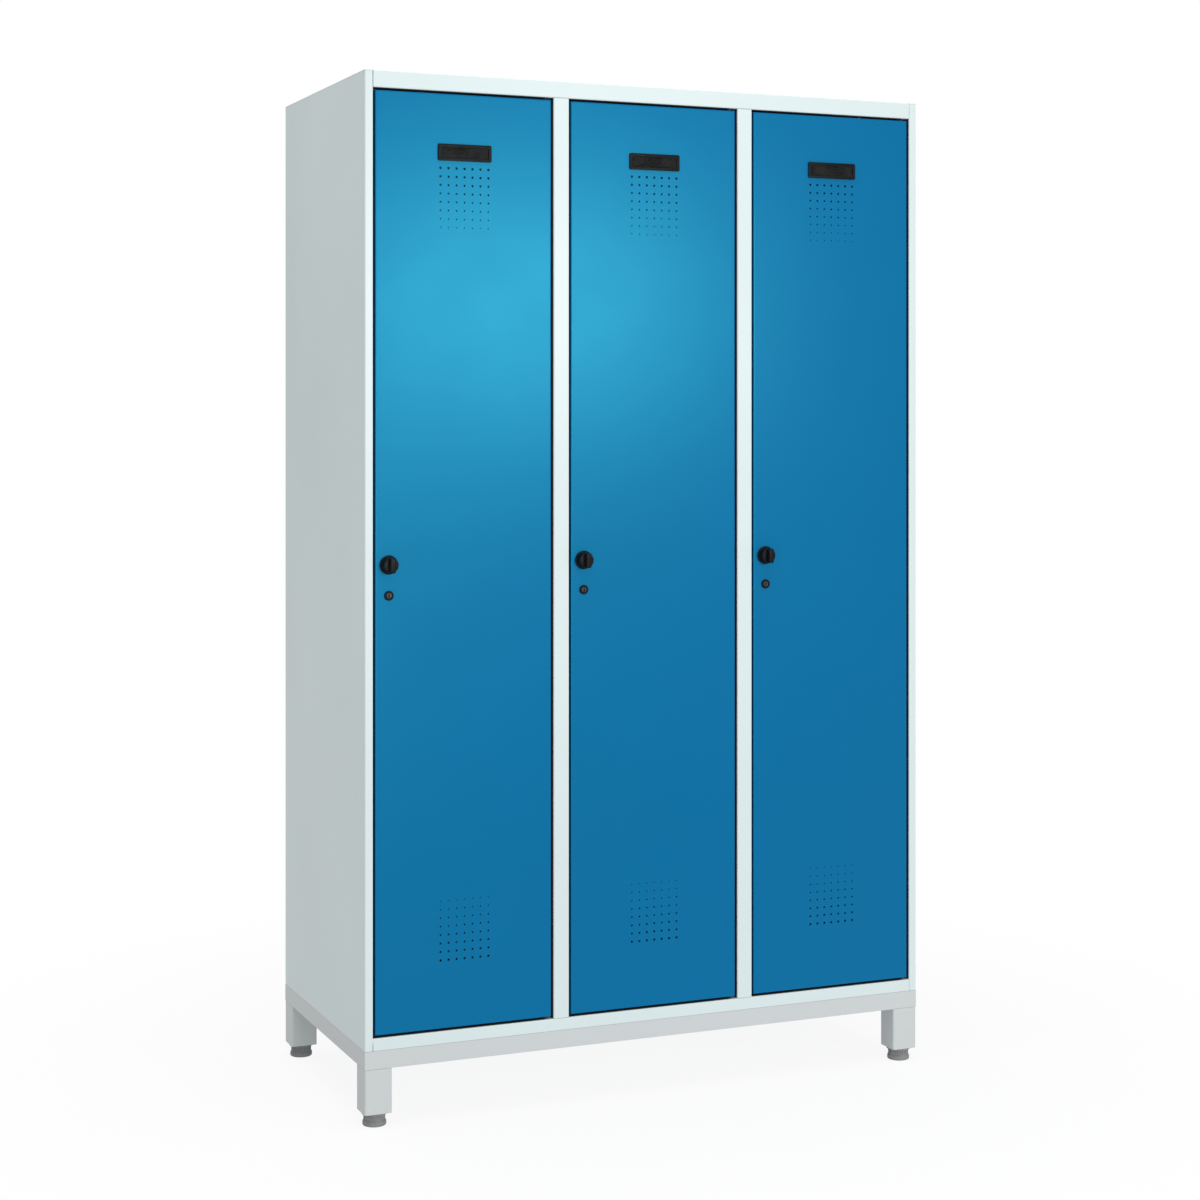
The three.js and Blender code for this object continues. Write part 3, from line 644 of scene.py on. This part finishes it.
VENT_COLUMNS = 7
VENT_ROWS = 8
VENT_PITCH = 15 * MM
VENT_LARGE = 3.8 * MM
VENT_SMALL = 1.8 * MM
UPPER_VENT_Z = 1684 * MM
LOWER_VENT_Z = 282 * MM
SHEET = 0.8 * MM
FOLD = 2.0 * MM
DOOR_LIP = 12 * MM
LOCK_HOLE = 5.6 * MM  # half of the hole behind the knob, and behind the key cylinder
PIN_HOLE = 3.3 * MM
PIN_SETBACK = 7 * MM  # hinge pin behind the door's face


def vent_half(row):
    """Half the side of a vent in a row, counted from the row of the largest."""
    return (VENT_LARGE + (VENT_SMALL - VENT_LARGE) * row / (VENT_ROWS - 1)) / 2


def door_skin(door):
    """The folded door pan as one sheet: a face with two fields of vents, round folds, flanges and a lip."""
    node = "door_panel_" + door
    low, high = node_box(node)
    middle = (low.x + high.x) / 2
    knob, plug, pin = (node_middle(piece + door) for piece in ("turn_knob_", "key_plug_", "hinge_upper_"))
    pin_y = low.y + PIN_SETBACK
    guard = 0.8 * MM

    # Lines across the face, from bottom to top: (height, half a vent there, what is cut above the line).
    rows = [(low.z + FOLD, vent_half(0), None), (low.z + FOLD + guard, vent_half(0), None)]
    for row in range(VENT_ROWS):
        half = vent_half(row)
        rows.append((LOWER_VENT_Z + row * VENT_PITCH - half, half, "vents"))
        rows.append((LOWER_VENT_Z + row * VENT_PITCH + half, half, None))
    small = vent_half(VENT_ROWS - 1)
    for spot in (plug, knob):
        rows.append((spot.z - LOCK_HOLE, small, "lock"))
        rows.append((spot.z + LOCK_HOLE, small, None))
    for row in reversed(range(VENT_ROWS)):
        half = vent_half(row)
        rows.append((UPPER_VENT_Z - row * VENT_PITCH - half, half, "vents"))
        rows.append((UPPER_VENT_Z - row * VENT_PITCH + half, half, None))
    rows += [(high.z - FOLD - guard, vent_half(0), None), (high.z - FOLD, vent_half(0), None)]

    def columns(half):
        """Lines up the face, from left to right: (x, what is cut to the right of the line)."""
        lines = [(low.x + FOLD, None), (low.x + FOLD + guard, None), (knob.x - LOCK_HOLE, "lock"),
                 (knob.x + LOCK_HOLE, None)]
        for column in range(VENT_COLUMNS):
            x = middle + (column - (VENT_COLUMNS - 1) / 2) * VENT_PITCH
            lines += [(x - half, "vents"), (x + half, None)]
        lines += [(pin.x - PIN_HOLE, "pin"), (pin.x + PIN_HOLE, None)]
        return lines + [(high.x - FOLD - guard, None), (high.x - FOLD, None)]

    bm = bmesh.new()
    grid = [[bm.verts.new((x, low.y, z)) for x, _ in columns(half)] for z, half, _ in rows]
    names = [name for _, name in columns(small)]
    last_row, last_column = len(grid) - 1, len(names) - 1
    for i, (_, _, cut) in enumerate(rows[:-1]):
        for j in range(last_column):
            if cut and cut == names[j]:
                continue
            bm.faces.new((grid[i][j], grid[i][j + 1], grid[i + 1][j + 1], grid[i + 1][j]))

    # The rim of the face, all the way round, with the direction that points out of the face at each vertex.
    rim = [(0, j) for j in range(last_column)] + [(i, last_column) for i in range(last_row)]
    rim += [(last_row, j) for j in range(last_column, 0, -1)] + [(i, 0) for i in range(last_row, 0, -1)]

    def outward(i, j):
        return Vector(((j == last_column) - (j == 0), 0, (i == last_row) - (i == 0)))

    steps = 5
    turns = [math.pi / 2 * step / steps for step in range(1, steps + 1)]
    section = [(FOLD * math.sin(a), low.y + FOLD * (1 - math.cos(a))) for a in turns]
    section += [(FOLD, pin_y - PIN_HOLE), (FOLD, pin_y + PIN_HOLE)]
    section += [(FOLD * math.cos(a), high.y - FOLD + FOLD * math.sin(a)) for a in [0, *turns]]
    section.append((FOLD - DOOR_LIP, high.y))
    before = [grid[i][j] for i, j in rim]
    for number, (reach, y) in enumerate(section):
        ring = []
        for i, j in rim:
            face_point = grid[i][j].co
            place = face_point + outward(i, j) * reach
            if reach < 0:
                place.x = min(max(face_point.x, low.x + DOOR_LIP), high.x - DOOR_LIP)
                place.z = min(max(face_point.z, low.z + DOOR_LIP), high.z - DOOR_LIP)
            ring.append(bm.verts.new((place.x, y, place.z)))
        for k, (i, j) in enumerate(rim):
            after = (k + 1) % len(rim)
            first_column = min(j, rim[after][1])
            on_rail = i == rim[after][0] and i in (0, last_row)
            if number == len(turns) + 1 and on_rail and names[first_column] == "pin":
                continue
            bm.faces.new((before[k], ring[k], ring[after], before[after]))
        before = ring
    bmesh.ops.recalc_face_normals(bm, faces=bm.faces)
    sheet = object_from("door_sheet_" + door, bm)
    thick = sheet.modifiers.new("thickness", "SOLIDIFY")
    thick.thickness = SHEET
    thick.offset = -1.0
    thick.use_even_offset = True
    bpy.context.view_layer.update()
    solid = bpy.data.meshes.new_from_object(sheet.evaluated_get(bpy.context.evaluated_depsgraph_get()))
    flat = sheet.data
    sheet.modifiers.clear()
    sheet.data = solid
    bpy.data.meshes.remove(flat)
    finish_piece(sheet, "door_" + door, "blue_paint")
    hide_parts(node)


# ---------------------------------------------------------------- stage


def studio():
    """A pale floor that fades into a white room. Both look whiter than the light they give the cabinet."""
    floor_mesh = bpy.data.meshes.new("studio floor")
    half = 30.0
    corners = [(-half, -half, 0), (half, -half, 0), (half, half, 0), (-half, half, 0)]
    floor_mesh.from_pydata(corners, [], [(0, 1, 2, 3)])
    floor = bpy.data.objects.new("studio_floor", floor_mesh)
    bpy.context.scene.collection.objects.link(floor)
    material = bpy.data.materials.new("studio paper")
    material.use_nodes = True
    tree = material.node_tree
    tree.nodes.clear()
    output = tree.nodes.new("ShaderNodeOutputMaterial")
    paper = tree.nodes.new("ShaderNodeBsdfDiffuse")
    paper.inputs["Color"].default_value = (0.92, 0.92, 0.92, 1)
    glow = tree.nodes.new("ShaderNodeEmission")
    glow.inputs["Color"].default_value = (1, 1, 1, 1)
    place = tree.nodes.new("ShaderNodeTexCoord")
    length = tree.nodes.new("ShaderNodeVectorMath")
    length.operation = "LENGTH"
    tree.links.new(place.outputs["Object"], length.inputs[0])
    fade = tree.nodes.new("ShaderNodeMapRange")
    fade.interpolation_type = "SMOOTHSTEP"
    fade.inputs["From Min"].default_value = 0.4
    fade.inputs["From Max"].default_value = 1.8
    seen = tree.nodes.new("ShaderNodeLightPath").outputs["Is Camera Ray"]
    near = tree.nodes.new("ShaderNodeMapRange")
    near.inputs["To Min"].default_value = 0.35
    near.inputs["To Max"].default_value = 0.88
    tree.links.new(seen, near.inputs["Value"])
    tree.links.new(near.outputs["Result"], fade.inputs["To Min"])
    brightness = tree.nodes.new("ShaderNodeMapRange")
    brightness.inputs["To Min"].default_value = 0.74
    brightness.inputs["To Max"].default_value = 1.0
    tree.links.new(seen, brightness.inputs["Value"])
    tree.links.new(brightness.outputs["Result"], glow.inputs["Strength"])
    tree.links.new(length.outputs["Value"], fade.inputs["Value"])
    both = tree.nodes.new("ShaderNodeMixShader")
    tree.links.new(fade.outputs["Result"], both.inputs["Fac"])
    tree.links.new(paper.outputs[0], both.inputs[1])
    tree.links.new(glow.outputs[0], both.inputs[2])
    tree.links.new(both.outputs[0], output.inputs[0])
    floor_mesh.materials.append(material)

    world = bpy.data.worlds.new("white room")
    bpy.context.scene.world = world
    world.use_nodes = True
    tree = world.node_tree
    tree.nodes.clear()
    output = tree.nodes.new("ShaderNodeOutputWorld")
    background = tree.nodes.new("ShaderNodeBackground")
    background.inputs["Color"].default_value = (1, 1, 1, 1)
    path = tree.nodes.new("ShaderNodeLightPath")
    strength = tree.nodes.new("ShaderNodeMapRange")
    strength.inputs["To Min"].default_value = 0.55
    strength.inputs["To Max"].default_value = 1.0
    tree.links.new(path.outputs["Is Camera Ray"], strength.inputs["Value"])
    tree.links.new(strength.outputs["Result"], background.inputs["Strength"])
    tree.links.new(background.outputs[0], output.inputs[0])


def area_light(name, place, target, width, height, power):
    """A rectangular softbox that faces its target."""
    data = bpy.data.lights.new(name, "AREA")
    data.shape = "RECTANGLE"
    data.size = width
    data.size_y = height
    data.energy = power
    light = bpy.data.objects.new(name, data)
    light.location = place
    light.rotation_mode = "QUATERNION"
    light.rotation_quaternion = (Vector(target) - Vector(place)).to_track_quat("-Z", "Y")
    bpy.context.scene.collection.objects.link(light)


LENS = 68.2  # mm
SHIFT = -0.15
YAW = 23.06  # degrees to the right of straight ahead
BACK_OFF = 3.964  # from the cabinet's front left corner, along the view
ASIDE = 0.410
EYE_HEIGHT = 1.238


def camera():
    """Level camera to the front left. The vertical shift keeps the cabinet's uprights parallel."""
    data = bpy.data.cameras.new("camera")
    data.sensor_width = 36.0
    data.lens = LENS
    data.shift_y = SHIFT
    obj = bpy.data.objects.new("camera", data)
    yaw = math.radians(YAW)
    forward = Vector((math.sin(yaw), math.cos(yaw), 0))
    right = Vector((math.cos(yaw), -math.sin(yaw), 0))
    corner = Vector((cad_low.x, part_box("stand_frame")[0][1], 0))
    obj.location = corner - forward * BACK_OFF + right * ASIDE + Vector((0, 0, EYE_HEIGHT))
    obj.rotation_euler = (math.pi / 2, 0, -yaw)
    bpy.context.scene.collection.objects.link(obj)
    bpy.context.scene.camera = obj


# ---------------------------------------------------------------- assembly

for node_name in NODES:
    dress_cad_node(node_name)
HOOK_SHARES = (0.3, 0.5, 0.7)  # along the coat rail
for door_name in DOORS:
    turn_knob(door_name)
    rosette(door_name)
    key_cylinder(door_name)
    label_holder(door_name)
    gap_shade_strips(door_name)
    door_skin(door_name)
    for hook_number, hook_share in enumerate(HOOK_SHARES, 1):
        coat_hook(door_name, hook_number, hook_share)
for corner_name in CORNERS:
    foot(corner_name)

studio()
area_light("key softbox", (1.0, -3.6, 1.64), (-0.2, -0.25, 1.3), 1.1, 0.6, 27)
area_light("front fill", (-0.4, -5.2, 1.0), (0, -0.25, 0.8), 1.8, 1.8, 57)
area_light("top fill", (-0.5, -0.4, 4.2), (0, 0, 0), 3.0, 3.0, 70)
camera()
bpy.context.scene.view_settings.view_transform = "Standard"

bpy.context.view_layer.update()
